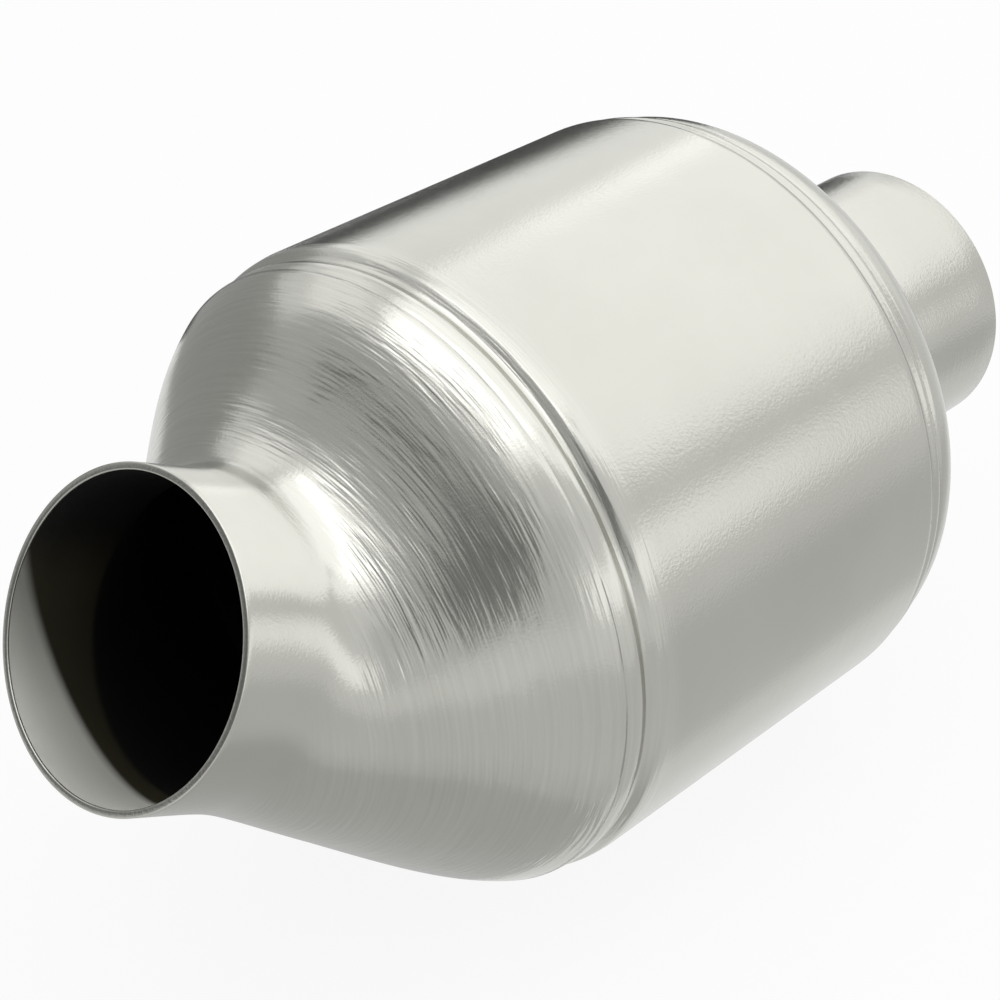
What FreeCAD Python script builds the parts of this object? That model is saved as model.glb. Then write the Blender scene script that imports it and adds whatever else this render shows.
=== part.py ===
import FreeCAD, Part
import math
import os

# Catalytic converter: one spun stainless shell, round body, straight outlet neck, inlet neck leaning up.
# Frame: origin at the centre of the outlet mouth, +X out of the outlet along the body's axis, +Z up.
# The inlet neck leans towards +Z. Sizes are in millimetres and degrees.

# Shell
wall = 1.4
neck_bore = 57.5
inlet_tilt = 28.4
inlet_neck_straight = 19.8
outlet_neck_straight = 29.5
lip_chamfer = 0.3

# Catalyst block, its mat and its edge seals
monolith_diameter = 118.4
monolith_length = 76.2
monolith_end_play = 1.0
mat_thickness = 3.95
seal_width = 4.0
seal_inset = 1.1
seat_gap = 0.1

# Honeycomb of the block, drawn coarser than the real one
cell_pitch = 6.3
cell_wall = 1.2
skin_thickness = 1.6

# Where the mat's two ends meet
seam_gap = 0.8
seam_cut_depth = 12.0
tongue_length = 24.0
tongue_width = 22.0

# Rolled bands at the body's two ends: distances from the crease, depths below the body
inlet_band = 9.0
inlet_groove_at = 5.0
inlet_groove_depth = 2.1
inlet_crown_at = 2.6
inlet_crown_depth = 1.35
outlet_band = 5.0
outlet_groove_at = 3.7
outlet_groove_depth = 0.95
outlet_crown_at = 2.0
outlet_crown_depth = 0.6
crease_depth = 2.25
crease_half_width = 0.5
shoulder_depth = 1.7

# Leaning inlet end, from its shoulder to the neck's root: the line of its ring centres, how far
# the rings have turned and how wide they are, as shares from shoulder to root that shape a smooth curve
inlet_cone_run = 41.6
inlet_cone_rise = 9.3
inlet_shoulder_pull = 15.9
inlet_middle_run = 19.5
inlet_middle_rise = 5.8
inlet_root_pull = 5.7
inlet_turn_shares = (0, 0.06, 0.68, 1)
inlet_width_shares = (1, 0.79, 0.47, 0.33, 0, 0)

# Straight outlet end: how far it runs, and the poles that shape its curve
outlet_cone_length = 39.7
outlet_shoulder_slope = 1.5
outlet_shoulder_pull = 14.4
outlet_middle_along = 0.34
outlet_middle_height = 0.374
outlet_flare_pull = 9.2

# Rings that the inlet end is drawn through, the step that finds its slope, how far cuts run past a face
# and how close to a mouth's centre its own edges have theirs
section_count = 12
slope_step = 0.001
cut_margin = 6.0
mouth_reach = 0.1

# Sizes worked out from the ones above
neck_inner_radius = neck_bore / 2
neck_outer_radius = neck_inner_radius + wall
monolith_radius = monolith_diameter / 2
mat_inner_radius = monolith_radius + seat_gap
mat_outer_radius = mat_inner_radius + mat_thickness
body_inner_radius = mat_outer_radius + seat_gap
body_outer_radius = body_inner_radius + wall
crease_radius = body_outer_radius - crease_depth
shoulder_radius = body_outer_radius - shoulder_depth

outlet_crease_x = -(outlet_neck_straight + outlet_cone_length + crease_half_width)
bore_length = monolith_length + 2 * monolith_end_play
inlet_crease_x = outlet_crease_x - outlet_band - bore_length - inlet_band
inlet_shoulder_x = inlet_crease_x - crease_half_width
outlet_shoulder_x = outlet_crease_x + crease_half_width
monolith_start_x = inlet_crease_x + inlet_band + monolith_end_play
monolith_end_x = monolith_start_x + monolith_length
seal_start_x = monolith_start_x + seal_inset
seal_end_x = monolith_end_x - seal_inset
mat_start_x = seal_start_x + seal_width + seat_gap
mat_end_x = seal_end_x - seal_width - seat_gap


def vec(x, y, z):
    return FreeCAD.Vector(x, y, z)


def bezier_curve(poles):
    curve = Part.BezierCurve()
    curve.setPoles(poles)
    return curve


def outlet_curve_poles():
    """Poles of the outlet end's outer curve: x is the distance from its shoulder, z the radius there."""
    drop = math.radians(outlet_shoulder_slope)
    middle_radius = neck_outer_radius + outlet_middle_height * (shoulder_radius - neck_outer_radius)
    return [
        vec(0, 0, shoulder_radius),
        vec(outlet_shoulder_pull * math.cos(drop), 0, shoulder_radius - outlet_shoulder_pull * math.sin(drop)),
        vec(outlet_middle_along * outlet_cone_length, 0, middle_radius),
        vec(outlet_cone_length - outlet_flare_pull, 0, neck_outer_radius),
        vec(outlet_cone_length, 0, neck_outer_radius),
    ]


def inset_poles(poles, inset):
    """The poles moved in so that each leg between two of them lies the inset further inside."""
    legs = []
    for start, end in zip(poles, poles[1:]):
        legs.append((end - start).normalize())
    legs = [legs[0]] + legs + [legs[-1]]
    moved = []
    for pole, before, after in zip(poles, legs, legs[1:]):
        inward = vec(before.z + after.z, 0, -before.x - after.x)
        mitre = 1 + before.dot(after)
        moved.append(pole + inward * (inset / mitre))
    return moved


def line_edge(start, end):
    return Part.LineSegment(start, end).toShape()


def revolved(edges, start, end):
    """Closes a half profile with the body's axis and spins it round."""
    foot_start = vec(start.x, 0, 0)
    foot_end = vec(end.x, 0, 0)
    closing = [line_edge(end, foot_end), line_edge(foot_end, foot_start), line_edge(foot_start, start)]
    wire = Part.Wire(Part.__sortEdges__(edges + closing))
    return Part.Face(wire).revolve(vec(0, 0, 0), vec(1, 0, 0), 360)


def s_bend(low, high):
    """Two equal arcs between two levels, both ends running along the body."""
    run = high.x - low.x
    rise = high.z - low.z
    middle = (low + high) / 2
    return [round_arc(low, middle, run, rise), round_arc(high, middle, -run, -rise)]


def round_arc(level_end, other_end, run, rise):
    """An arc that leaves level_end along the body and curves to other_end, half of the given bend away."""
    radius = (run * run + rise * rise) / (4 * rise)
    turn = math.asin(min(abs(run / 2 / radius), 1)) / 2
    side = math.copysign(1, run)
    on_the_way = level_end + vec(side * abs(radius) * math.sin(turn), 0, radius * (1 - math.cos(turn)))
    return Part.Arc(level_end, on_the_way, other_end).toShape()


def band_levels(crease_x, side, inset):
    """Crown, groove and full level of a rolled band; side is +1 at the inlet, -1 at the outlet."""
    if side > 0:
        sizes = (inlet_crown_at, inlet_crown_depth, inlet_groove_at, inlet_groove_depth, inlet_band)
    else:
        sizes = (outlet_crown_at, outlet_crown_depth, outlet_groove_at, outlet_groove_depth, outlet_band)
    crown_at, crown_depth, groove_at, groove_depth, band = sizes
    level = body_outer_radius - inset
    crown = vec(crease_x + side * crown_at, 0, level - crown_depth)
    groove = vec(crease_x + side * groove_at, 0, level - groove_depth)
    full = vec(crease_x + side * band, 0, level)
    return crown, groove, full


def crest_arc(crown, foot):
    """The crown's rounded side, down to a foot."""
    return round_arc(crown, foot, 2 * (foot.x - crown.x), 2 * (foot.z - crown.z))


def outlet_poles(inset):
    return [pole + vec(outlet_shoulder_x, 0, 0) for pole in inset_poles(outlet_curve_poles(), inset)]


def body_outside():
    """Body, both rolled bands and the straight outlet end, as one turned solid."""
    inlet_shoulder = vec(inlet_shoulder_x, 0, shoulder_radius)
    inlet_crease = vec(inlet_crease_x, 0, crease_radius)
    outlet_crease = vec(outlet_crease_x, 0, crease_radius)
    inlet_crown, inlet_groove, inlet_full = band_levels(inlet_crease_x, 1, 0)
    outlet_crown, outlet_groove, outlet_full = band_levels(outlet_crease_x, -1, 0)
    cone_poles = outlet_poles(0)
    mouth = vec(0, 0, neck_outer_radius)
    edges = [line_edge(inlet_shoulder, inlet_crease), crest_arc(inlet_crown, inlet_crease)]
    edges += s_bend(inlet_crown, inlet_groove) + s_bend(inlet_groove, inlet_full)
    edges += [line_edge(inlet_full, outlet_full)]
    edges += s_bend(outlet_full, outlet_groove) + s_bend(outlet_groove, outlet_crown)
    edges += [crest_arc(outlet_crown, outlet_crease), line_edge(outlet_crease, cone_poles[0])]
    edges += [bezier_curve(cone_poles).toShape(), line_edge(cone_poles[-1], mouth)]
    return revolved(edges, inlet_shoulder, mouth)


def body_inside():
    """The hollow of the body and of the outlet end; inside, the bands are plain steps."""
    inlet_start = vec(inlet_shoulder_x, 0, shoulder_radius - wall)
    cone_poles = outlet_poles(wall)
    beyond_mouth = vec(cut_margin, 0, neck_inner_radius)
    corners = [inlet_start]
    corners += band_levels(inlet_crease_x, 1, wall)
    corners += band_levels(outlet_crease_x, -1, wall)[::-1]
    corners += [cone_poles[0]]
    edges = [line_edge(start, end) for start, end in zip(corners, corners[1:])]
    edges += [bezier_curve(cone_poles).toShape(), line_edge(cone_poles[-1], beyond_mouth)]
    return revolved(edges, inlet_start, beyond_mouth)


def bezier_value(poles, along):
    """A point or number on the smooth curve with these poles, at a share of the way along it."""
    row = list(poles)
    while len(row) > 1:
        row = [a + (b - a) * along for a, b in zip(row, row[1:])]
    return row[0]


def inlet_direction(turn):
    """Outwards along the inlet end once it has turned up by this many degrees."""
    angle = math.radians(turn)
    return vec(-math.cos(angle), 0, math.sin(angle))


def inlet_root():
    return vec(inlet_shoulder_x - inlet_cone_run, 0, inlet_cone_rise)


def inlet_mouth():
    return inlet_root() + inlet_direction(inlet_tilt) * inlet_neck_straight


def inlet_ring(along):
    """Centre, outward direction and outer radius of the inlet end, at a share of the way to the neck's root."""
    centre_poles = [
        vec(inlet_shoulder_x, 0, 0),
        vec(inlet_shoulder_x - inlet_shoulder_pull, 0, 0),
        vec(inlet_shoulder_x - inlet_middle_run, 0, inlet_middle_rise),
        inlet_root() - inlet_direction(inlet_tilt) * inlet_root_pull,
        inlet_root(),
    ]
    direction = inlet_direction(inlet_tilt * bezier_value(inlet_turn_shares, along))
    width = bezier_value(inlet_width_shares, along)
    radius = neck_outer_radius + width * (shoulder_radius - neck_outer_radius)
    return bezier_value(centre_poles, along), direction, radius


def inlet_edge(along, side):
    """The outer surface's highest point, side +1, or lowest point, side -1, on a ring."""
    centre, direction, radius = inlet_ring(along)
    return centre + vec(direction.z, 0, -direction.x) * (side * radius)


def inlet_edge_inset(along, side, inset):
    """That point moved in: square to the surface, but in its own plane on the first and last ring."""
    point = inlet_edge(along, side)
    inward = (inlet_ring(along)[0] - point).normalize()
    if 0 < along < 1:
        slope = (inlet_edge(along + slope_step, side) - inlet_edge(along - slope_step, side)).normalize()
        inward = (inward - slope * inward.dot(slope)).normalize()
    return point + inward * inset


def ring(top, bottom):
    """The circle across the XZ plane that has these highest and lowest points."""
    centre = (top + bottom) / 2
    lean = math.degrees(math.atan2(top.x - bottom.x, top.z - bottom.z))
    circle = Part.Circle(vec(0, 0, 0), vec(-1, 0, 0), (top - bottom).Length / 2).toShape()
    circle.rotate(vec(0, 0, 0), vec(0, 1, 0), lean)
    circle.translate(centre)
    return Part.Wire([circle])


def inlet_end(inset):
    """The leaning inlet end as one solid through rings; inset is 0 for its outside, the wall for its inside."""
    rings = []
    for i in range(section_count):
        along = i / (section_count - 1)
        rings.append(ring(inlet_edge_inset(along, 1, inset), inlet_edge_inset(along, -1, inset)))
    return Part.makeLoft(rings, True, False, False)


def inlet_neck(radius, extra):
    """The straight end of the inlet neck, with any extra past its mouth."""
    return Part.makeCylinder(radius, inlet_neck_straight + extra, inlet_root(), inlet_direction(inlet_tilt))


def lip_edges(shape):
    """The sharp inner and outer edges of both mouths."""
    mouths = [vec(0, 0, 0), inlet_mouth()]
    edges = []
    for edge in shape.Edges:
        curve = edge.Curve
        if not isinstance(curve, Part.Circle):
            continue
        for mouth in mouths:
            if curve.Center.distanceToPoint(mouth) < mouth_reach:
                edges.append(edge)
    return edges


def make_shell():
    outside = body_outside().fuse([inlet_end(0), inlet_neck(neck_outer_radius, 0)])
    inside = body_inside().fuse([inlet_end(wall), inlet_neck(neck_inner_radius, cut_margin)])
    shell = outside.removeSplitter().cut(inside.removeSplitter())
    solid = shell.Solids[0]
    return solid.makeChamfer(lip_chamfer, lip_edges(solid))


def square_wire(x, y, z, side):
    half = side / 2
    corners = [(-half, -half), (half, -half), (half, half), (-half, half), (-half, -half)]
    return Part.makePolygon([vec(x, y + a, z + b) for a, b in corners])


def make_monolith():
    """A round block pierced by square channels, none of which breaks its outer skin."""
    cell = cell_pitch - cell_wall
    reach = monolith_radius - skin_thickness
    rows = int(reach / cell_pitch) + 1
    rim = Part.Wire([Part.Circle(vec(monolith_start_x, 0, 0), vec(1, 0, 0), monolith_radius).toShape()])
    channels = []
    for row in range(-rows, rows + 1):
        for column in range(-rows, rows + 1):
            y = column * cell_pitch
            z = row * cell_pitch
            corner = math.hypot(abs(y) + cell / 2, abs(z) + cell / 2)
            if corner < reach:
                channels.append(square_wire(monolith_start_x, y, z, cell))
    face = Part.makeFace([rim] + channels, "Part::FaceMakerBullseye")
    return face.extrude(vec(monolith_length, 0, 0))


def sleeve(start_x, end_x):
    """A tube that fills the space between the block and the body."""
    length = end_x - start_x
    outer = Part.makeCylinder(mat_outer_radius, length, vec(start_x, 0, 0), vec(1, 0, 0))
    inner = Part.makeCylinder(mat_inner_radius, length, vec(start_x, 0, 0), vec(1, 0, 0))
    return outer.cut(inner)


def seam_slot(start_x, end_x, y):
    """One straight stretch of the seam along the mat, through its lower side."""
    low = vec(start_x, y - seam_gap / 2, -mat_outer_radius - seam_gap)
    return Part.makeBox(end_x - start_x, seam_gap, seam_cut_depth, low)


def make_mat():
    """The mat is one strip wrapped round the block; its tongue fills the notch of its other end."""
    middle = (mat_start_x + mat_end_x) / 2
    tongue_start = middle - tongue_width / 2
    tongue_end = middle + tongue_width / 2
    slots = [
        seam_slot(mat_start_x - seam_gap, tongue_start, 0),
        seam_slot(tongue_start - seam_gap, tongue_end + seam_gap, tongue_length),
        seam_slot(tongue_end, mat_end_x + seam_gap, 0),
    ]
    for side_x in (tongue_start, tongue_end):
        low = vec(side_x - seam_gap / 2, -seam_gap / 2, -mat_outer_radius - seam_gap)
        slots.append(Part.makeBox(seam_gap, tongue_length + seam_gap, seam_cut_depth, low))
    return sleeve(mat_start_x, mat_end_x).cut(slots)


def main():
    os.makedirs("parts", exist_ok=True)
    pieces = {
        "shell": make_shell(),
        "monolith": make_monolith(),
        "support_mat": make_mat(),
        "inlet_mat_seal": sleeve(seal_start_x, seal_start_x + seal_width),
        "outlet_mat_seal": sleeve(seal_end_x - seal_width, seal_end_x),
    }
    for name, shape in pieces.items():
        shape.exportStep("parts/" + name + ".step")
        box = shape.BoundBox
        print(name, "valid", shape.isValid(), "solids", len(shape.Solids), "volume", round(shape.Volume))
        print("  box", [round(value, 2) for value in (box.XMin, box.XMax, box.YMin, box.YMax, box.ZMin, box.ZMax)])


main()
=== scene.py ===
import bmesh
import bpy
import math
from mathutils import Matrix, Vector
from mathutils.geometry import tessellate_polygon


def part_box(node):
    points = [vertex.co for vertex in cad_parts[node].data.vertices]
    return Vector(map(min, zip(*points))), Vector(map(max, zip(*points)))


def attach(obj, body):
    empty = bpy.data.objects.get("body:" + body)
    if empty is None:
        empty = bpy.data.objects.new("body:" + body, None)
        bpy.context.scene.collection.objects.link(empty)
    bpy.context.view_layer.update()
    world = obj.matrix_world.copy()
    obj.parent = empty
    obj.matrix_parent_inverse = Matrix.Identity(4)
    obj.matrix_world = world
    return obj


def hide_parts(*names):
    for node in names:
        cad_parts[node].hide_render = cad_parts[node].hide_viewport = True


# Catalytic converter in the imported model's frame: origin at the centre of the outlet mouth, +X out of the
# outlet, +Z on the side that the inlet neck leans to. Shapes are worked out in millimetres, built in metres.

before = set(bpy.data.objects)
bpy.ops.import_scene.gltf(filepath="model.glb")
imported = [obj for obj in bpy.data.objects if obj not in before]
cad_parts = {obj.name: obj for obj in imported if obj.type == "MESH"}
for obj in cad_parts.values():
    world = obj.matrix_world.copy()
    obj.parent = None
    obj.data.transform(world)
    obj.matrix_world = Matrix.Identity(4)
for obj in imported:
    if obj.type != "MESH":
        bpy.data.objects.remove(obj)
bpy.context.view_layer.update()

METRES = 0.001

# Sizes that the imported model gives
block_low, block_high = (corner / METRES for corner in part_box("monolith"))
body_outer_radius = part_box("shell")[1].y / METRES
monolith_radius = block_high.y

# Shell sizes that its source gives by name
wall = 1.4
neck_inner_radius = 28.75
inlet_tilt = 28.4
inlet_neck_straight = 19.8
outlet_neck_straight = 29.5
lip_round = 0.3
monolith_end_play = 1.0
inlet_band = 9.0
inlet_groove_at = 5.0
inlet_groove_depth = 2.1
inlet_crown_at = 2.6
inlet_crown_depth = 1.35
outlet_band = 5.0
outlet_groove_at = 3.7
outlet_groove_depth = 0.95
outlet_crown_at = 2.0
outlet_crown_depth = 0.6
crease_depth = 2.25
crease_half_width = 0.5
shoulder_depth = 1.7
inlet_cone_run = 41.6
inlet_cone_rise = 9.3
inlet_shoulder_pull = 15.9
inlet_middle_run = 19.5
inlet_middle_rise = 5.8
inlet_root_pull = 5.7
inlet_turn_shares = (0, 0.06, 0.68, 1)
inlet_width_shares = (1, 0.79, 0.47, 0.33, 0, 0)
outlet_cone_length = 39.7
outlet_shoulder_slope = 1.5
outlet_shoulder_pull = 14.4
outlet_middle_along = 0.34
outlet_middle_height = 0.374
outlet_flare_pull = 9.2

neck_outer_radius = neck_inner_radius + wall
shoulder_radius = body_outer_radius - shoulder_depth
crease_radius = body_outer_radius - crease_depth
outlet_crease = outlet_neck_straight + outlet_cone_length + crease_half_width
bore_length = block_high.x - block_low.x + 2 * monolith_end_play
inlet_crease = outlet_crease + outlet_band + bore_length + inlet_band
inlet_shoulder = inlet_crease + crease_half_width
outlet_shoulder = outlet_crease - crease_half_width

# Fineness of the shell's mesh: points a ring, rings on a cone, the way from ring to ring, and steps of an
# arc; the last one is the share of the inlet end over which its slope is taken
segments = 256
cone_rings = 58
straight_step = 5.0
neck_step = 0.9
band_step = 0.18
band_arc_steps = {"outlet": 5, "inlet": 7}
lip_steps = 4
slope_step = 0.001

# Softness of the rolled bands and of the corner at the inlet neck's root, as times of evening out; how far a
# band's row runs past it; and where its flank starts and ends, as shares of the way from the groove up
band_passes = {"outlet": 22, "inlet": 6}
neck_passes = 80
band_reach = 2.5
flank_start = (0.09, 0.07)
flank_end = (0.49, 0.89)

# Fine cells of the real block, its outer skin, and the steps round its rim
cell_pitch = 1.27
cell_wall = 0.17
block_skin = 1.2
rim_segments = 180

# The finish of the steel follows, in millimetres. A zone is a row of distances along the outside from the
# outlet lip: where it sets in, is full, starts to fade and is gone, or only one of those two edges.

# Spin marks on both ends: their zones, the roller's wandering grooves, the scores and streaks between them,
# and the patches that weaken them
inlet_marks = (165.0, 171.0, 224.0, 240.0)
outlet_marks = (34.0, 74.0)
outlet_marks_share = 0.3
groove_pitch = 0.42
groove_wander = 1.2
groove_height = 0.003
score_range = (0.30, 0.70)
streak_height = 0.040
patch_range = (0.38, 0.64)
patch_share = (0.25, 1.1)

# Hair lines all over, and a grain: fine on the body, stronger on the outlet neck, faint on the inlet end
hair_height = 0.003
grain_size = 0.6
grain_height = 0.042
outlet_neck_grain = (16.0, 32.0)
outlet_neck_grain_share = 1.6
inlet_grain_share = 0.35
inlet_neck_grain = (224.0, 236.0)
inlet_neck_grain_share = 0.25

# How many features of each noise there are in a millimetre: along the body's axis, and twice across it
patch_scale = (0.16, 0.06, 0.06)
wander_scale = (0.10, 0.035, 0.035)
score_scale = (1.7, 0.11, 0.11)
streak_scale = (2.1, 0.04, 0.04)
hair_scale = (4.0, 0.12, 0.12)
cloud_scale = (0.028, 0.028, 0.028)

# Lean of the normals on the inlet neck's upper side, where it starts to spread: its zone, then two pairs of
# distances below the neck's centre: where it sets in and has its share, and where that grows to the whole
flare_run = (233.0, 240.0, 254.6, 255.6)
flare_side = (8.0, -8.0)
flare_side_share = 0.3
flare_crest = (-17.0, -24.0)
flare_lean = 0.34

# Colour outside: uneven steel, darker on the outlet neck, before the outlet end's crease and on both rims
tone_stops = (0.15, 0.7)
streak_tone = 0.5
cloud_tone = 0.5
neck_dark_share = 0.8
darker_shoulder = (56.0, 66.0, 72.0, 74.0)
darker_shoulder_share = 0.8
rim_zone = (-1.5, -1.1)

# Colour inside the inlet neck, painted light and shade. Lit steel, painted brighter on the lower side,
# reaches from the lip to an oblique
# painted shadow edge: its depth at the neck's centre, how much deeper it lies for each millimetre beside and
# below that, and how soft it is. Past it comes painted shade: dark olive and, higher up or deeper in, black.
# The last pair is how far the lit and the shaded steel are from the look of metal.
inside_zone = (0.0, 0.2)
shadow_edge_depth = -2.6
shadow_edge_lean = (0.15, 0.56)
shadow_edge_span = (-1.2, 1.8)
painted_light_side = (-5.0, 26.0)
painted_shade_side = (4.0, -12.0)
deep_softness = 1.0
inside_not_metal = (0.35, 0.75)

# Roughness of the outside, what the hair lines add to it, and what the inside adds
steel_roughness = 0.15
hair_roughness = 0.10
inside_roughness = 0.3
steel_anisotropy = 0.3

# Colours of the steel outside and on the rims; inside the inlet neck, painted lit and less lit steel, then
# painted shade in dark olive and black
steel_light = (0.52, 0.52, 0.482, 1)
steel_dark = (0.44, 0.438, 0.402, 1)
lit_steel_inside = (1.0, 1.0, 0.93, 1)
less_lit_steel_inside = (0.36, 0.36, 0.33, 1)
steel_rim = (0.36, 0.36, 0.335, 1)
painted_shade_olive = (0.030, 0.027, 0.014, 1)
painted_black_shade = (0.002, 0.002, 0.002, 1)

# Colours and knit of the pieces inside
ceramic_dark = (0.20, 0.17, 0.13, 1)
ceramic_light = (0.30, 0.27, 0.21, 1)
mat_fibre = (0.62, 0.58, 0.50, 1)
mat_mica = (0.42, 0.33, 0.18, 1)
wire_dark = (0.10, 0.10, 0.10, 1)
loop_pitch = 1.1
loops_round = 340.0
wire_height = 0.12

# Camera: lens and sensor in millimetres, place in metres, and the direction of its view
camera_lens = 82.03
sensor_width = 36.0
camera_place = (-0.40002, -0.26193, 0.24771)
camera_look = (0.60379885, 0.58316884, -0.54345289)

# Studio, in metres: each soft light's compass angle, height angle, width, height and radiance
light_target = Vector((-0.115, 0, 0))
light_distance = 1.6
soft_lights = {
    "overhead": (0, 90, 1.9, 1.9, 0.90),
    "back_high": (-5, 42, 2.4, 0.95, 0.75),
    "back_low": (-5, 15, 0.8, 0.5, 0.28),
    "side_high": (-105, 54, 1.8, 0.4, 0.7),
    "front_high": (178, 62, 1.5, 0.6, 0.85),
    "left_strip": (50, 23, 0.9, 0.75, 0.40),
    "left_high": (95, 42, 1.2, 0.6, 0.40),
    "side_strip": (-80, 8, 2.4, 0.45, 0.60),
}
key_light = (-47, 70, 0.3, 0.3, 6.0)  # not seen by reflections

# Grey boards that only reflections show: centre, width, height and grey; those on the floor lie flat
boards = {
    "front_wall": ((-2.27, 0.08, 0.46), 3.9, 1.18, 0.25),
    "front_upper": ((-1.87, 0.31, 1.29), 4.4, 0.70, 0.60),
    "front_left": ((-1.41, 1.72, 0.46), 0.75, 1.18, 0.66),
    "front_right": ((-1.49, -1.64, 0.53), 0.8, 1.20, 0.80),
    "left_wall": ((-0.19, 2.18, 0.31), 2.4, 0.9, 0.46),
    "left_board": ((-0.16, 0.30, 0.02), 0.40, 0.19, 0.42),
    "edge_board": ((0.19, 0.40, 0.02), 0.36, 0.17, 0.06),
    "edge_card": ((0.12, 0.29, -0.065), 0.36, 0.18, 0.06),
    # painted shadow: a grey card under the body that reflections show in place of the body's shadow on the
    # floor
    "contact_shadow_card": ((-0.205, -0.03, -0.065), 0.09, 0.13, 0.62),
    "side_card": ((-0.06, -0.19, -0.065), 0.56, 0.22, 0.80),
}

# Grey of the room as far as its light goes; the floor's gap under the body, reach, colour and share of white
room_level = 0.35
floor_gap = 0.0005
floor_reach = 12.0
floor_colour = 0.9
floor_whiteness = 0.90


def outlet_curve_poles():
    """Poles of the outlet end's outer curve as (distance from its shoulder, radius)."""
    drop = math.radians(outlet_shoulder_slope)
    pull = Vector((math.cos(drop), -math.sin(drop))) * outlet_shoulder_pull
    middle_radius = neck_outer_radius + outlet_middle_height * (shoulder_radius - neck_outer_radius)
    return [
        Vector((0, shoulder_radius)),
        Vector((0, shoulder_radius)) + pull,
        Vector((outlet_middle_along * outlet_cone_length, middle_radius)),
        Vector((outlet_cone_length - outlet_flare_pull, neck_outer_radius)),
        Vector((outlet_cone_length, neck_outer_radius)),
    ]


def inset_poles(poles, inset):
    """The poles moved in so that each leg between two of them lies the inset further inside."""
    legs = [(end - start).normalized() for start, end in zip(poles, poles[1:])]
    legs = [legs[0]] + legs + [legs[-1]]
    moved = []
    for pole, before, after in zip(poles, legs, legs[1:]):
        inward = Vector((before.y + after.y, -before.x - after.x))
        moved.append(pole + inward * (inset / (1 + before.dot(after))))
    return moved


def bezier_value(poles, along):
    """A point or number on the smooth curve with these poles, at a share of the way along it."""
    row = list(poles)
    while len(row) > 1:
        row = [a + (b - a) * along for a, b in zip(row, row[1:])]
    return row[0]


def outlet_points(inset, count):
    """The outlet end's curve from the neck up to the shoulder, as (distance from the mouth, radius)."""
    points = [bezier_value(inset_poles(outlet_curve_poles(), inset), i / count) for i in range(count + 1)]
    return [Vector((outlet_shoulder - p.x, p.y)) for p in points[::-1]]


def arc_points(level_end, other_end, count):
    """An arc that leaves level_end along the body and ends at other_end."""
    run = other_end.x - level_end.x
    rise = other_end.y - level_end.y
    radius = (run * run + rise * rise) / (2 * rise)
    turn = math.copysign(math.asin(min(abs(run / radius), 1)), run)
    points = []
    for i in range(count + 1):
        angle = turn * i / count
        points.append(level_end + Vector((abs(radius) * math.sin(angle), radius * (1 - math.cos(angle)))))
    return points


def s_bend(low, high, count):
    """Two equal arcs between two levels, both ends running along the body."""
    middle = (low + high) / 2
    return arc_points(low, middle, count) + arc_points(high, middle, count)[::-1][1:]


def straight(start, end, step=straight_step):
    """Points between two ends, the far end left to whatever follows."""
    count = max(int((end - start).length / step), 1)
    return [start.lerp(end, i / count) for i in range(count)]


def band_levels(crease, side, inset):
    """Crown, groove and full level of a rolled band; side is -1 at the inlet, +1 at the outlet."""
    if side < 0:
        sizes = (inlet_crown_at, inlet_crown_depth, inlet_groove_at, inlet_groove_depth, inlet_band)
    else:
        sizes = (outlet_crown_at, outlet_crown_depth, outlet_groove_at, outlet_groove_depth, outlet_band)
    crown_at, crown_depth, groove_at, groove_depth, band = sizes
    level = body_outer_radius - inset
    return [
        Vector((crease + side * crown_at, level - crown_depth)),
        Vector((crease + side * groove_at, level - groove_depth)),
        Vector((crease + side * band, level)),
    ]


def softened(row, passes):
    """The row with each inner entry evened out with its neighbours, again and again; its ends stay."""
    for _ in range(passes):
        evened = [a * 0.25 + b * 0.5 + c * 0.25 for a, b, c in zip(row, row[1:], row[2:])]
        row = row[:1] + evened + row[-1:]
    return row


def evenly(corners, step):
    """Points about a step apart along a row of straight pieces, with both of its ends."""
    points = []
    for start, end in zip(corners, corners[1:]):
        points += straight(start, end, step)
    return points + [corners[-1]]


def rolled_band(end):
    """Outside of a band from its crease past the full body, with softly rolled crown and groove."""
    crease, side = (outlet_crease, 1) if end == "outlet" else (inlet_crease, -1)
    count = band_arc_steps[end]
    crown, groove, full = band_levels(crease, side, 0)
    foot = Vector((crease, crease_radius))
    rise = full - groove
    flank = [groove + Vector((rise.x * run, rise.y * up)) for run, up in (flank_start, flank_end)]
    wave = arc_points(crown, foot, count)[::-1] + s_bend(crown, groove, count)[1:]
    wave += flank + [full, full + Vector((side * band_reach, 0))]
    return softened(evenly(wave, band_step), band_passes[end])


def lip_points(mouth, side):
    """A rounded lip between the inner and the outer neck radius; side is the way into the neck."""
    inner = Vector((mouth + side * lip_round, neck_inner_radius + lip_round))
    outer = Vector((mouth + side * lip_round, neck_outer_radius - lip_round))
    inner_arc = []
    outer_arc = []
    for i in range(lip_steps + 1):
        angle = math.pi / 2 * i / lip_steps
        inner_arc.append(inner - lip_round * Vector((side * math.sin(angle), math.cos(angle))))
        outer_arc.append(outer + lip_round * Vector((-side * math.cos(angle), math.sin(angle))))
    points = inner_arc + outer_arc
    return points if side > 0 else points[::-1]


def link(name, data):
    """A new object with this mesh, light or camera, put into the scene."""
    thing = bpy.data.objects.new(name, data)
    bpy.context.scene.collection.objects.link(thing)
    return thing


def body_ring(place):
    """A ring square to the body, at (distance from the outlet mouth, radius)."""
    return Vector((-place.x, 0, 0)), Vector((-1, 0, 0)), place.y


def inlet_direction(turn):
    """Outwards along the inlet end once it has turned up by this many degrees."""
    angle = math.radians(turn)
    return Vector((-math.cos(angle), 0, math.sin(angle)))


def inlet_root():
    """The middle of the inlet neck where its straight part starts."""
    return Vector((-inlet_shoulder - inlet_cone_run, 0, inlet_cone_rise))


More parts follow.
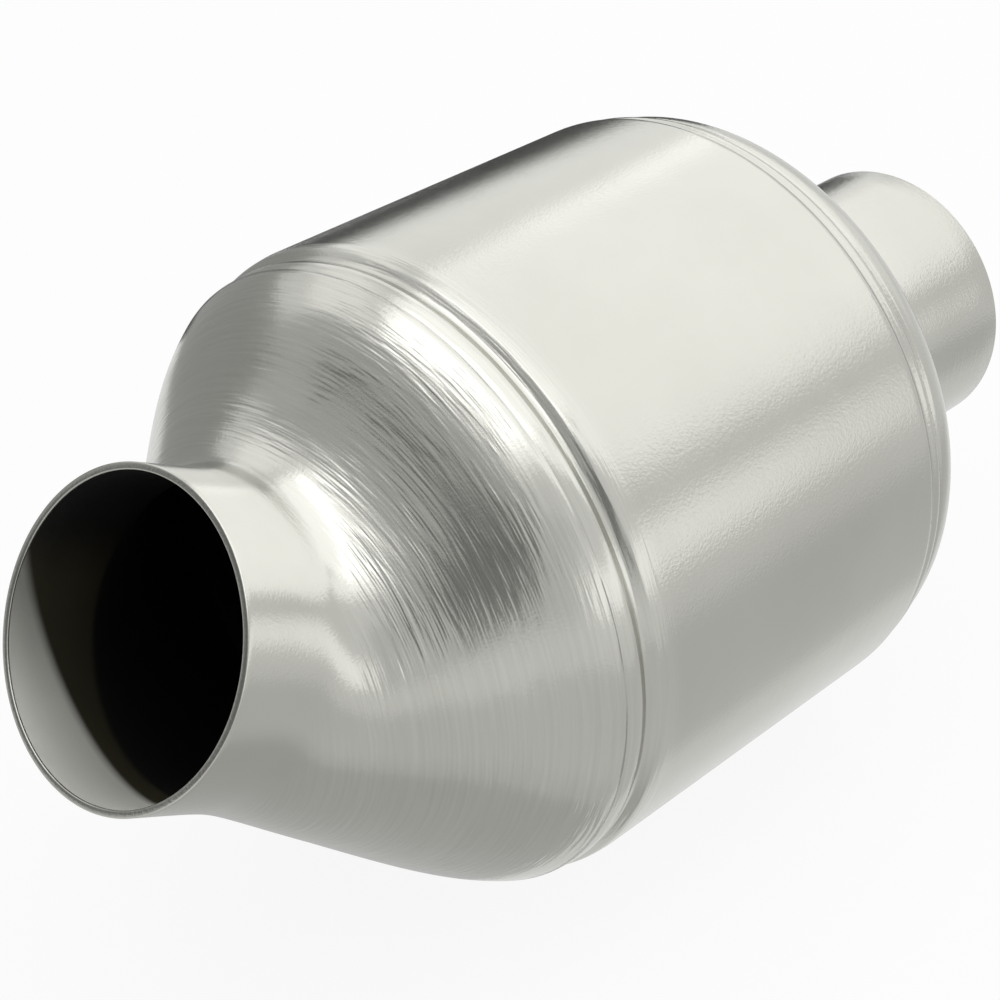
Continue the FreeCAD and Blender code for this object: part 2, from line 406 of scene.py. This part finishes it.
def neck_ring(place):
    """A ring of the inlet neck, at (distance from its root, radius)."""
    direction = inlet_direction(inlet_tilt)
    return inlet_root() + direction * place.x, direction, place.y


def inlet_ring(along):
    """Centre, outward direction and outer radius of the inlet end, at a share of the way to the root."""
    centre_poles = [
        Vector((-inlet_shoulder, 0, 0)),
        Vector((-inlet_shoulder - inlet_shoulder_pull, 0, 0)),
        Vector((-inlet_shoulder - inlet_middle_run, 0, inlet_middle_rise)),
        inlet_root() - inlet_direction(inlet_tilt) * inlet_root_pull,
        inlet_root(),
    ]
    direction = inlet_direction(inlet_tilt * bezier_value(inlet_turn_shares, along))
    width = bezier_value(inlet_width_shares, along)
    radius = neck_outer_radius + width * (shoulder_radius - neck_outer_radius)
    return bezier_value(centre_poles, along), direction, radius


def inlet_edge(along, side):
    """The outer surface's highest point, side +1, or lowest point, side -1, on a ring."""
    centre, direction, radius = inlet_ring(along)
    return centre + Vector((direction.z, 0, -direction.x)) * (side * radius)


def inlet_edge_inset(along, side, inset):
    """That point moved in: square to the surface, but in its own plane on the first and last ring."""
    point = inlet_edge(along, side)
    inward = (inlet_ring(along)[0] - point).normalized()
    if 0 < along < 1:
        slope = (inlet_edge(along + slope_step, side) - inlet_edge(along - slope_step, side)).normalized()
        inward = (inward - slope * inward.dot(slope)).normalized()
    return point + inward * inset


def inlet_rings(inset, count):
    """Rings of the inlet end from the shoulder to the neck's root."""
    rings = []
    for i in range(count + 1):
        top = inlet_edge_inset(i / count, 1, inset)
        bottom = inlet_edge_inset(i / count, -1, inset)
        up = (top - bottom).normalized()
        rings.append(((top + bottom) / 2, Vector((-up.z, 0, up.x)), (top - bottom).length / 2))
    return rings


def outside_rings():
    """Rings along the outside, from the outlet lip to the inlet lip, evened out round the inlet's root."""
    outlet = outlet_points(0, cone_rings)
    outlet_side = rolled_band("outlet")
    inlet_side = rolled_band("inlet")[::-1]
    lip = lip_points(0, 1)
    body = lip + straight(lip[-1], outlet[0])[1:] + outlet
    body += outlet_side + straight(outlet_side[-1], inlet_side[0])[1:] + inlet_side
    lip = lip_points(inlet_neck_straight, -1)
    neck = straight(Vector((0, neck_outer_radius)), lip[0], neck_step)[1:]
    leaning = inlet_rings(0, cone_rings) + [neck_ring(p) for p in neck]
    half = cone_rings // 2
    soft = [softened(list(part), neck_passes) for part in zip(*leaning[half:])]
    return [body_ring(p) for p in body] + leaning[:half] + list(zip(*soft)) + [neck_ring(p) for p in lip]


def inside_rings():
    """Rings along the inside, from the inlet neck back to the outlet neck."""
    outlet = outlet_points(wall, cone_rings // 2)[::-1]
    corners = band_levels(inlet_crease, -1, wall) + band_levels(outlet_crease, 1, wall)[::-1]
    neck_end = Vector((inlet_neck_straight - lip_round, neck_inner_radius))
    neck = straight(neck_end, Vector((0, neck_inner_radius)))[1:]
    body = []
    for start, end in zip(corners, corners[1:]):
        body += straight(start, end)
    body += [corners[-1]] + outlet + straight(outlet[-1], Vector((lip_round, neck_inner_radius)))[1:]
    inlet = inlet_rings(wall, cone_rings // 2)[::-1]
    return [neck_ring(p) for p in neck] + inlet + [body_ring(p) for p in body]


def ring_points(ring, count):
    """Points of one ring, started on its lower side."""
    centre, direction, radius = ring
    up = Vector((direction.z, 0, -direction.x))
    side = Vector((0, 1, 0))
    points = []
    for i in range(count):
        angle = 2 * math.pi * i / count
        points.append(centre + radius * (side * math.sin(angle) - up * math.cos(angle)))
    return points


def ring_step(start, end):
    """How far the surface runs from one ring to the next, on the average round the ring."""
    return math.hypot((end[0] - start[0]).length, end[2] - start[2])


def build_shell():
    """One closed skin: outside rings from the outlet to the inlet, then inside rings back."""
    outside = outside_rings()
    profile = outside + inside_rings()
    run = [0.0]
    for start, end in zip(profile, profile[1:] + profile[:1]):
        run.append(run[-1] + ring_step(start, end))
    points = []
    spun = []
    for ring, distance in zip(profile, run):
        points += ring_points(ring, segments)
        # For the material: distance along the skin, then distance beside and below the ring's centre
        for i in range(segments):
            angle = 2 * math.pi * i / segments
            spun.append((distance, ring[2] * math.sin(angle), ring[2] * math.cos(angle)))
    rings = len(profile)
    faces = []
    around = []
    for row in range(rings):
        following = (row + 1) % rings
        for i in range(segments):
            j = (i + 1) % segments
            here, there = row * segments, following * segments
            faces.append((here + i, here + j, there + j, there + i))
            low, high = run[row] / run[-1], run[row + 1] / run[-1]
            near, far = i / segments, (i + 1) / segments
            around += [low, near, low, far, high, far, high, near]
    mesh = bpy.data.meshes.new("spun_shell")
    mesh.from_pydata([p * METRES for p in points], [], faces)
    mesh.uv_layers.new(name="Spin").data.foreach_set("uv", around)
    numbers = [number for place in spun for number in place]
    mesh.attributes.new("spun", "FLOAT_VECTOR", "POINT").data.foreach_set("vector", numbers)
    # Distance along the skin from the nearer lip's inner end, below zero outside and above it inside
    inlet_lip = run[len(outside) - 1]
    depth = []
    for row, distance in enumerate(run[:-1]):
        if row < len(outside):
            inward = -min(inlet_lip - distance, distance)
        else:
            inward = min(distance - inlet_lip, run[-1] - distance)
        depth += [inward] * segments
    mesh.attributes.new("depth", "FLOAT", "POINT").data.foreach_set("value", depth)
    mesh.polygons.foreach_set("use_smooth", [True] * len(mesh.polygons))
    mesh.update()
    return link("spun_shell", mesh)


def build_block():
    """The honeycomb block with its real fine cells, which run right through it."""
    reach = monolith_radius - block_skin
    rows = int(reach / cell_pitch) + 1
    half = cell_pitch / 2
    hole = half - cell_wall / 2
    cells = []
    for row in range(-rows, rows + 1):
        for column in range(-rows, rows + 1):
            if math.hypot((abs(row) + 0.5) * cell_pitch, (abs(column) + 0.5) * cell_pitch) < reach:
                cells.append((column, row))
    kept = set(cells)
    ends = (block_low.x, block_high.x)
    points = []
    places = {}
    faces = []

    def place(x, y, z):
        key = (round(x, 3), round(y, 3), round(z, 3))
        if key not in places:
            places[key] = len(points)
            points.append(Vector((x, y, z)) * METRES)
        return places[key]

    signs = [(-1, -1), (1, -1), (1, 1), (-1, 1)]
    outline = {}
    for column, row in cells:
        y, z = column * cell_pitch, row * cell_pitch
        rings = []
        for x in ends:
            outer = [place(x, y + a * half, z + b * half) for a, b in signs]
            inner = [place(x, y + a * hole, z + b * hole) for a, b in signs]
            rings.append((outer, inner))
        for k in range(4):
            following = (k + 1) % 4
            for end, (outer, inner) in enumerate(rings):
                quad = (outer[k], outer[following], inner[following], inner[k])
                faces.append(quad if end else quad[::-1])
            low, high = rings[0][1], rings[1][1]
            faces.append((low[k], low[following], high[following], high[k]))
        for k, (step_y, step_z) in enumerate(((0, -1), (1, 0), (0, 1), (-1, 0))):
            if (column + step_y, row + step_z) not in kept:
                a, b = signs[k], signs[(k + 1) % 4]
                outline[(column * 2 + a[0], row * 2 + a[1])] = (column * 2 + b[0], row * 2 + b[1])
    corner = next(iter(outline))
    loop = [corner]
    while outline[loop[-1]] != corner:
        loop.append(outline[loop[-1]])
    rim = [2 * math.pi * i / rim_segments for i in range(rim_segments)]
    circle = [Vector((0, monolith_radius * math.cos(a), monolith_radius * math.sin(a))) for a in rim]
    stairs = [Vector((0, y * half, z * half)) for y, z in loop]
    flat = circle + stairs
    for triangle in tessellate_polygon([circle, stairs]):
        for end, x in enumerate(ends):
            corners = [place(x, flat[i].y, flat[i].z) for i in triangle]
            faces.append(corners if end else corners[::-1])
    for i in range(rim_segments):
        a, b = circle[i], circle[(i + 1) % rim_segments]
        low, high = [[place(x, p.y, p.z) for p in (a, b)] for x in ends]
        faces.append((low[0], low[1], high[1], high[0]))
    mesh = bpy.data.meshes.new("honeycomb_block")
    mesh.from_pydata(points, [], faces)
    turned = bmesh.new()
    turned.from_mesh(mesh)
    bmesh.ops.recalc_face_normals(turned, faces=turned.faces)
    turned.to_mesh(mesh)
    turned.free()
    return link("honeycomb_block", mesh)


class Nodes:
    """A node tree, with short ways to add linked nodes; for a material, with its own shader."""

    def __init__(self, name):
        self.material = bpy.data.materials.new(name)
        self.material.use_nodes = True
        self.tree = self.material.node_tree
        self.shader = self.tree.nodes["Principled BSDF"]

    @classmethod
    def of(cls, tree):
        """The same short ways for a tree that isn't a material's, such as the world's."""
        n = cls.__new__(cls)
        n.tree = tree
        return n

    def set(self, socket, value):
        if isinstance(value, bpy.types.NodeSocket):
            self.tree.links.new(value, socket)
        else:
            socket.default_value = value

    def add(self, kind, inputs=(), **settings):
        node = self.tree.nodes.new("ShaderNode" + kind)
        for key, value in settings.items():
            setattr(node, key, value)
        for key, value in dict(inputs).items():
            self.set(node.inputs[key], value)
        return node

    def finish(self, **values):
        """The material, with these values or links on its own shader."""
        for key, value in values.items():
            self.set(self.shader.inputs[key.replace("_", " ")], value)
        return self.material

    def surface(self, shader, output="Material Output"):
        self.set(self.tree.nodes[output].inputs["Surface"], shader.outputs[0])

    def glow(self, colour):
        return self.add("Emission", {"Color": colour, "Strength": 1.0})

    def math(self, operation, *values):
        return self.add("Math", dict(enumerate(values)), operation=operation).outputs[0]

    def vector(self, operation, *values):
        return self.add("VectorMath", dict(enumerate(values)), operation=operation).outputs[0]

    def times(self, first, *others):
        for other in others:
            first = self.math("MULTIPLY", first, other)
        return first

    def plus(self, first, *others):
        for other in others:
            first = self.math("ADD", first, other)
        return first

    def parts(self, vector):
        """The three numbers of a vector, by their letters."""
        return self.add("SeparateXYZ", {"Vector": vector}).outputs

    def bump(self, height, **others):
        """Normals that follow a height in millimetres."""
        return self.add("Bump", {"Height": height, "Distance": METRES, **others}).outputs["Normal"]

    def noise(self, place, scale, detail=2.0, roughness=0.5):
        """Soft noise from 0 to 1, with this many features per unit of length along X, Y and Z."""
        inputs = {"Vector": self.vector("MULTIPLY", place, scale), "Scale": 1.0}
        inputs.update({"Detail": detail, "Roughness": roughness})
        return self.add("TexNoise", inputs).outputs["Fac"]

    def span(self, value, low, high, to_low=0.0, to_high=1.0, smooth=True):
        """to_low at low and before it, to_high at high and past it; low may be the larger of the two."""
        inputs = {"Value": value, "From Min": low, "From Max": high, "To Min": to_low, "To Max": to_high}
        kind = "SMOOTHSTEP" if smooth else "LINEAR"
        return self.add("MapRange", inputs, interpolation_type=kind).outputs["Result"]

    def band(self, value, edges):
        """1 in a band, 0 beside it; its edges are where it sets in, is full, starts to fade and is gone."""
        return self.times(self.span(value, *edges[:2]), self.span(value, *edges[:1:-1]))

    def blend(self, share, first, second):
        inputs = {"Factor": share, "A": first, "B": second}
        node = self.add("Mix", data_type="RGBA")
        for socket in node.inputs:
            if socket.name in inputs and socket.enabled:
                self.set(socket, inputs[socket.name])
        return next(s for s in node.outputs if s.enabled)

    def ramp(self, value, stops):
        node = self.add("ValToRGB", {"Fac": value})
        elements = node.color_ramp.elements
        for element, (place, colour) in zip(elements, stops):
            element.position = place
            element.color = colour
        return node.outputs["Color"]


def lean_to_mouth(n, share):
    """The surface's normal, leant by this share towards the inlet's mouth."""
    way = n.add("CombineXYZ", dict(zip("XYZ", inlet_direction(inlet_tilt)))).outputs[0]
    way = n.add("VectorMath", {0: way, "Scale": share}, operation="SCALE").outputs[0]
    normal = n.add("NewGeometry").outputs["Normal"]
    return n.vector("NORMALIZE", n.vector("ADD", normal, way))


def steel_material():
    """Satin stainless steel: spin marks on both spun ends, fine grain on the body; inside the inlet neck,
    painted light and shade, black deep inside.
    """
    n = Nodes("spun_steel")
    run, beside, below = n.parts(n.add("Attribute", attribute_name="spun").outputs["Vector"])
    depth = n.add("Attribute", attribute_name="depth").outputs["Fac"]
    place = n.vector("MULTIPLY", n.add("TexCoord").outputs["Object"], (1 / METRES,) * 3)
    along = n.parts(place)["X"]
    # How strongly the spinning roller marked each zone, and in patches
    outlet_zone = n.times(n.span(run, outlet_marks[1], outlet_marks[0]), outlet_marks_share)
    zone = n.math("MAXIMUM", n.band(run, inlet_marks), outlet_zone)
    patch = n.span(n.noise(place, patch_scale), *patch_range, *patch_share)
    # Roller grooves and the short scores between them lie across the body's axis
    wander = n.times(n.noise(place, wander_scale), groove_wander)
    groove = n.math("SINE", n.times(n.plus(along, wander), 2 * math.pi / groove_pitch))
    score = n.span(n.noise(place, score_scale, 1.0, 0.4), *score_range)
    streak = n.noise(place, streak_scale)
    marks = n.plus(n.times(score, streak_height), n.times(streak, streak_height))
    marks = n.times(n.plus(n.times(groove, groove_height), marks), patch, zone)
    # Hair lines of the finish and the grain of the rolled sheet
    hair = n.noise(place, hair_scale, roughness=0.6)
    grain_zone = n.span(run, outlet_neck_grain[1], outlet_neck_grain[0], 1.0, outlet_neck_grain_share)
    grain_zone = n.times(grain_zone, n.span(run, *inlet_marks[:2], 1.0, inlet_grain_share))
    grain_zone = n.plus(grain_zone, n.span(run, *inlet_neck_grain, 0.0, inlet_neck_grain_share))
    grain = n.times(n.noise(place, (1 / grain_size,) * 3, roughness=0.6), grain_zone, grain_height)
    height = n.plus(marks, n.plus(n.times(hair, hair_height), grain))
    # The inlet neck's upper side already starts to spread here, so its normals lean a little to the mouth
    upper = n.times(n.span(below, *flare_crest, flare_side_share, 1.0), n.span(below, *flare_side))
    flared = n.times(n.band(run, flare_run), upper, flare_lean)
    bump = n.bump(height, Normal=lean_to_mouth(n, flared))
    # Colour outside: a little uneven, with darker zones
    cloud = n.noise(place, cloud_scale, 3.0, 0.55)
    tone = n.plus(n.times(streak, n.times(zone, streak_tone)), n.times(cloud, cloud_tone))
    outer_colour = n.ramp(tone, zip(tone_stops, (steel_dark, steel_light)))
    neck = n.span(run, outlet_neck_grain[1], outlet_neck_grain[0], 0.0, neck_dark_share)
    outer_colour = n.blend(neck, outer_colour, steel_dark)
    # Darker over the outlet end's shoulder, crease and rolled band
    shoulder = n.times(n.band(run, darker_shoulder), darker_shoulder_share)
    outer_colour = n.blend(shoulder, outer_colour, steel_rim)
    outer_colour = n.blend(n.span(depth, *rim_zone), outer_colour, steel_rim)
    # Colour inside, painted light and shade: lit steel, brighter on the lower side, up to an oblique painted
    # shadow edge, then painted shade in dark olive, black higher up and deeper in
    lean = n.plus(n.times(beside, shadow_edge_lean[0]), n.times(below, shadow_edge_lean[1]))
    in_painted_shadow = n.span(n.math("SUBTRACT", depth, n.plus(lean, shadow_edge_depth)), *shadow_edge_span)
    painted_lit_steel = n.blend(n.span(below, *painted_light_side), less_lit_steel_inside, lit_steel_inside)
    deep = n.span(depth, inlet_neck_straight - deep_softness, inlet_neck_straight + deep_softness)
    shaded = n.math("MAXIMUM", deep, n.span(below, *painted_shade_side))
    inner_colour = n.blend(in_painted_shadow, painted_lit_steel, n.blend(shaded, painted_shade_olive, painted_black_shade))
    inside = n.span(depth, *inside_zone)
    colour = n.blend(inside, outer_colour, inner_colour)
    roughness = n.plus(n.times(hair, hair_roughness), steel_roughness, n.times(inside, inside_roughness))
    not_metal = n.times(inside, n.span(in_painted_shadow, 0.0, 1.0, *inside_not_metal))
    metallic = n.math("SUBTRACT", 1.0, not_metal)
    tangent = n.add("Tangent", direction_type="UV_MAP", uv_map="Spin").outputs[0]
    brushed = {"Roughness": roughness, "Anisotropic": steel_anisotropy, "Tangent": tangent}
    return n.finish(Base_Color=colour, Metallic=metallic, Normal=bump, **brushed)


def ceramic_material():
    """Washcoated ceramic: pale brown grey, dusty, a little uneven from cell to cell."""
    n = Nodes("washcoated_ceramic")
    place = n.add("TexCoord").outputs["Object"]
    cloud = n.noise(place, (90.0, 90.0, 90.0), 3.0)
    grit = n.noise(place, (2500.0, 2500.0, 2500.0), roughness=0.7)
    colour = n.ramp(cloud, [(0.3, ceramic_dark), (0.7, ceramic_light)])
    bump = n.bump(n.times(grit, 0.04), Strength=0.6)
    return n.finish(Base_Color=colour, Roughness=0.9, Normal=bump)


def mat_material():
    """Pale fibre mat with flecks of mica."""
    n = Nodes("fibre_mat")
    place = n.add("TexCoord").outputs["Object"]
    fibre = n.noise(place, (400.0, 1600.0, 1600.0), 4.0, 0.7)
    fleck = n.noise(place, (700.0, 700.0, 700.0), 1.0, 0.4)
    colour = n.blend(n.span(fleck, 0.62, 0.70), mat_fibre, mat_mica)
    return n.finish(Base_Color=colour, Roughness=0.95, Normal=n.bump(n.times(fibre, 0.15)))


def wire_material():
    """Knitted steel wire of the edge seals: crossing rows of loops about a millimetre apart."""
    n = Nodes("knitted_wire")
    place = n.parts(n.add("TexCoord").outputs["Object"])
    rows = n.math("SINE", n.times(place["X"], 2 * math.pi / (loop_pitch * METRES)))
    loops = n.math("SINE", n.times(n.math("ARCTAN2", place["Z"], place["Y"]), loops_round))
    knit = n.times(rows, loops)
    colour = n.ramp(n.span(knit, -1.0, 1.0, smooth=False), [(0.2, wire_dark), (0.8, steel_light)])
    bump = n.bump(n.times(knit, wire_height))
    return n.finish(Base_Color=colour, Metallic=1.0, Roughness=0.45, Normal=bump)


def aim(thing, place, target):
    thing.location = place
    thing.rotation_euler = (Vector(target) - Vector(place)).to_track_quat("-Z", "Y").to_euler()


def add_card(name, azimuth, elevation, width, height, radiance):
    """A soft light of even radiance, at a compass angle and height round the object's middle, facing it."""
    across, up = math.radians(azimuth), math.radians(elevation)
    way = Vector((math.cos(across) * math.cos(up), math.sin(across) * math.cos(up), math.sin(up)))
    lamp = bpy.data.lights.new(name, "AREA")
    lamp.shape = "RECTANGLE"
    lamp.size = width
    lamp.size_y = height
    lamp.energy = radiance * math.pi * width * height
    card = link(name, lamp)
    card.visible_camera = False
    aim(card, light_target + way * light_distance, light_target)
    return card


def flat_mesh(name, width, height, level=0.0):
    """A rectangle round the Z axis."""
    corners = [(-1, -1), (1, -1), (1, 1), (-1, 1)]
    mesh = bpy.data.meshes.new(name)
    mesh.from_pydata([(x * width / 2, y * height / 2, level) for x, y in corners], [], [(0, 1, 2, 3)])
    return mesh


def add_board(name, centre, width, height, grey):
    """A grey board that only reflections show: one on the floor lies flat, another faces the object."""
    mesh = flat_mesh(name, width, height)
    board = link(name, mesh)
    n = Nodes(name)
    n.surface(n.glow((grey, grey, grey, 1)))
    mesh.materials.append(n.material)
    board.visible_camera = False
    board.visible_diffuse = False
    board.visible_shadow = False
    if centre[2] > -body_outer_radius * METRES:
        aim(board, centre, light_target)
    else:
        board.location = centre


def add_lights():
    for name, placing in soft_lights.items():
        add_card(name, *placing)
    key = add_card("key", *key_light)
    key.visible_glossy = False
    for name, placing in boards.items():
        add_board(name, *placing)


def seen_rays(n):
    """1 for what the camera sees, also by reflection or through glass; 0 for light that falls on things."""
    rays = n.add("LightPath")
    seen = n.math("MAXIMUM", rays.outputs["Is Camera Ray"], rays.outputs["Is Glossy Ray"])
    return n.math("MAXIMUM", seen, rays.outputs["Is Transmission Ray"])


def add_world():
    """White wherever it is seen, and a plain grey room as far as its light goes."""
    world = bpy.data.worlds.new("studio")
    bpy.context.scene.world = world
    world.use_nodes = True
    n = Nodes.of(world.node_tree)
    room = n.add("Background", {"Color": (room_level, room_level, room_level, 1)})
    white = n.add("Background", {"Color": (1, 1, 1, 1)})
    mix = n.add("MixShader", {0: seen_rays(n), 1: room.outputs[0], 2: white.outputs[0]})
    n.surface(mix, "World Output")


def add_floor():
    """A plain pale floor under the body; it is seen near white, with the shadow kept faint."""
    low = -body_outer_radius * METRES - floor_gap
    mesh = flat_mesh("floor", 2 * floor_reach, 2 * floor_reach, low)
    floor = link("floor", mesh)
    n = Nodes("floor")
    n.finish(Base_Color=(floor_colour, floor_colour, floor_colour, 1), Roughness=0.9, Specular_IOR_Level=0.0)
    white = n.glow((1, 1, 1, 1))
    share = n.times(seen_rays(n), floor_whiteness)
    n.surface(n.add("MixShader", {0: share, 1: n.shader.outputs[0], 2: white.outputs[0]}))
    mesh.materials.append(n.material)


def add_camera():
    """The photograph's viewpoint, found from the body's edges, its rolled lines and both mouths."""
    data = bpy.data.cameras.new("camera")
    data.lens = camera_lens
    data.sensor_width = sensor_width
    camera = link("camera", data)
    camera.location = camera_place
    camera.rotation_euler = Vector(camera_look).to_track_quat("-Z", "Y").to_euler()
    bpy.context.scene.camera = camera


def dress_node(name, material):
    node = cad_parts[name]
    node.data.materials.clear()
    node.data.materials.append(material)


shell = build_shell()
shell.data.materials.append(steel_material())
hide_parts("shell")
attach(shell, "root")
block = build_block()
block.data.materials.append(ceramic_material())
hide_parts("monolith")
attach(block, "root")
dress_node("support_mat", mat_material())
seal = wire_material()
dress_node("inlet_mat_seal", seal)
dress_node("outlet_mat_seal", seal)
add_camera()
add_lights()
add_world()
add_floor()
bpy.context.scene.view_settings.view_transform = "Standard"
